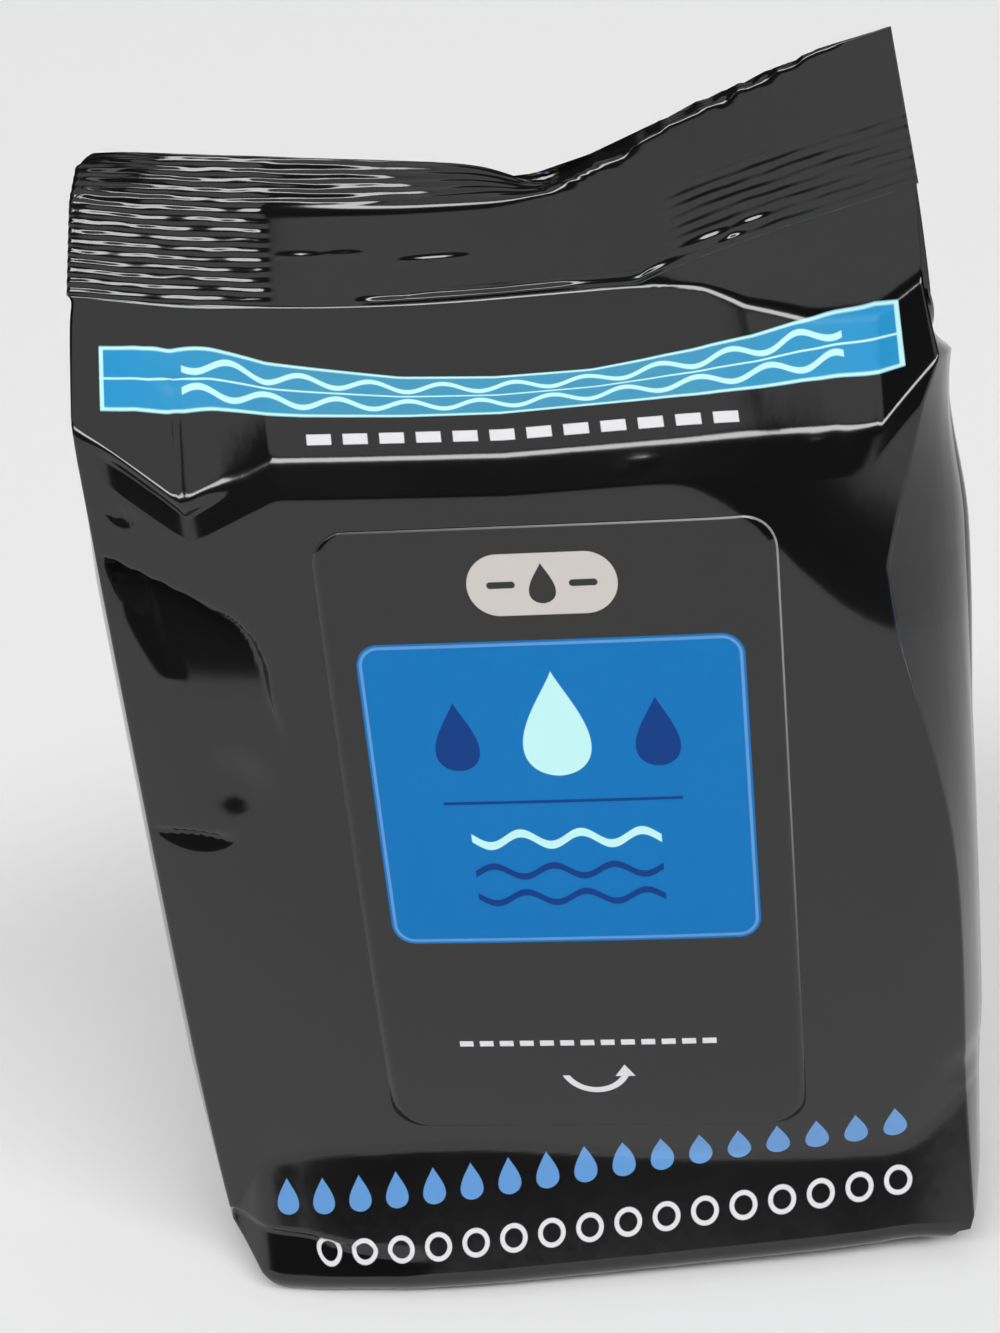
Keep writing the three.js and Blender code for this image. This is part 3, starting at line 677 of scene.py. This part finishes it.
x, up, _ = start.node("ShaderNodeAttribute", {"attribute_name": "label"}, output="Vector").split()
# Painted highlight: a thin grey line just inside the label's cut edge, strongest along the top and the right,
# where light catches the edge.
painted_edge_highlight = inked(abs(plate(x, up, label_width, label_half_height * 2, label_radius) + 0.12) - 0.14)
painted_edge_highlight = painted_edge_highlight * (0.4 + up * (0.6 / label_half_height)).above(0.05)
painted_edge_highlight = painted_edge_highlight * (0.55 + x * (0.9 / label_width)).above(0.1)
x, up = x + 0.4, up - 8.15
panel = plate(x, up, panel_width, panel_height, panel_radius)
on_panel = inked(panel)
panel_line = inked(abs(panel + 0.5) - 0.2)
big_drop = drop(x, up - 10.5, 9.0, 15.0)
side_drops = drop(abs(x) - 13.0, up - 9.0, 6.0, 10.0)
divider = inked(abs(up + 0.7) - 0.22) * between(x, -15.7, 15.7)
ripple = wave_line(x, up + 6.2, 8.0, 0.9, 1.2) * between(x, -12.5, 12.5)
deep_ripples = wave_line(x + 4, up + 11.0, 8.0, 0.8, 1.0) + wave_line(x, up + 15.0, 8.0, 0.8, 1.0)
deep_ripples = deep_ripples * between(x, -12.5, 12.5)
badge_up = up - 29.5
badge = inked(plate(x, badge_up, badge_width, badge_height, badge_height / 2))
badge_drop = drop(x, badge_up - 0.2, 3.6, 5.6)
badge_bars = inked(plate(abs(x) - 5.2, badge_up, 3.6, 0.9, 0.45))
pull_row = dashes(x, up + 38.7, 2.8, 1.9, 0.9) * between(x, -18.2, 18.2)
arrow_x, arrow_up = x - 0.7, up + 45.0
arc_radius, arc_line, arc_up = 4.6, 0.9, arrow_up - 2.6
arc = inked(abs((arrow_x * arrow_x + arc_up * arc_up).root() - arc_radius) - arc_line / 2)
arc = arc * inked(arrow_up - 0.6)
head_up = arrow_up - 0.4
head = inked(abs(arrow_x - 4.1) - (2.0 - head_up) * 0.7) * between(head_up, 0.0, 2.0)
colour = printed_in(film_black, [(painted_edge_highlight, edge_highlight_grey), (on_panel, panel_blue), (panel_line, sky_blue),
                                 (big_drop, pale_cyan), (side_drops, navy), (divider, navy),
                                 (ripple, pale_cyan), (deep_ripples, navy),
                                 (badge, badge_grey), (badge_drop, film_black), (badge_bars, film_black),
                                 (pull_row, print_white), (arc, print_white), (head, print_white)])
film_finish(start, colour, on_panel)
label_mesh.materials.append(material)
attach(label, "root")
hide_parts("reseal_label")

# The studio: a floor of pale matt paper under a soft ceiling, with dark walls round it. One wide bright
# window high in front lights the pack and shows in its gloss, and a small soft box at the left fills the
# shade. The camera stands in front, a little to the right, and looks down at the pack.
reach = 30
floor_mesh = bpy.data.meshes.new("floor")
floor_corners = [(-reach, -reach, 0), (reach, -reach, 0), (reach, reach, 0), (-reach, reach, 0)]
floor_mesh.from_pydata(floor_corners, [], [(0, 1, 2, 3)])
floor = bpy.data.objects.new("floor", floor_mesh)
bpy.context.scene.collection.objects.link(floor)
material, start = new_material("pale_floor")
paper = start.node("ShaderNodeBsdfPrincipled", {}, {"Base Color": (0.9, 0.9, 0.9, 1), "Roughness": 0.9})
start.node("ShaderNodeOutputMaterial", {}, {"Surface": paper})
floor_mesh.materials.append(material)

# The room round the floor, by direction: pale along the horizon, a dark wall, the window and the ceiling.
world = bpy.data.worlds.new("studio")
world.use_nodes = True
world.node_tree.nodes.clear()
start = Value(world.node_tree)
direction = start.node("ShaderNodeTexCoord", output="Generated")
east, north, up = direction.split()


def from_to(value, low, high):
    """0 below low, 1 above high, and smooth between them."""
    return value.node("ShaderNodeMapRange", {"interpolation_type": "SMOOTHSTEP"},
                      {"Value": value, "From Min": low, "From Max": high})


window_turn, window_light, low_light, ceiling_light, wall_light = np.radians(11), 10.4, 0.82, 0.7, 0.025
level_length = (east * east + north * north).root() + 1e-4
facing = (east * float(np.sin(window_turn)) - north * float(np.cos(window_turn))) / level_length
window = from_to(facing, 0.64, 0.68) * from_to(up, 0.56, 0.6) * (1 - from_to(up, 0.74, 0.78))
pale = (1 - from_to(up, 0.04, 0.09)) * low_light + from_to(up, 0.8, 0.87) * ceiling_light
bright = pale + window * window_light + wall_light
background = start.node("ShaderNodeBackground", {}, {"Color": (1, 1, 1, 1), "Strength": bright})
start.node("ShaderNodeOutputWorld", {}, {"Surface": background})
bpy.context.scene.world = world

box_place, box_target, box_size, box_power = Vector((-0.9, -0.75, 0.8)), Vector((0, 0, 0.08)), 0.3, 0.5
lamp = bpy.data.lights.new("fill_box", "AREA")
lamp.shape, lamp.size, lamp.size_y, lamp.energy = "RECTANGLE", box_size, box_size, box_power
fill_box = bpy.data.objects.new("fill_box", lamp)
fill_box.location = box_place
fill_box.rotation_euler = (box_target - box_place).to_track_quat("-Z", "Y").to_euler()
bpy.context.scene.collection.objects.link(fill_box)

sensor, focal_pixels, picture_height = 36, 2100, 1333
target, distance = Vector((-0.0057, 0, 0.0896)), 0.288
azimuth, elevation, roll = np.radians((7.16, 22.23, -6.78))
camera_data = bpy.data.cameras.new("camera")
camera_data.lens = sensor * focal_pixels / picture_height
camera_data.clip_start = 0.01
camera = bpy.data.objects.new("camera", camera_data)
back = Vector((np.sin(azimuth) * np.cos(elevation), -np.cos(azimuth) * np.cos(elevation), np.sin(elevation)))
level = Vector((np.cos(azimuth), np.sin(azimuth), 0))
upright = back.cross(level)
right = np.cos(roll) * level + np.sin(roll) * upright
above = np.cos(roll) * upright - np.sin(roll) * level
turned = Matrix((right, above, back)).transposed().to_4x4()
camera.matrix_world = Matrix.Translation(target + distance * back) @ turned
bpy.context.scene.collection.objects.link(camera)
bpy.context.scene.camera = camera
bpy.context.scene.view_settings.view_transform = "Standard"
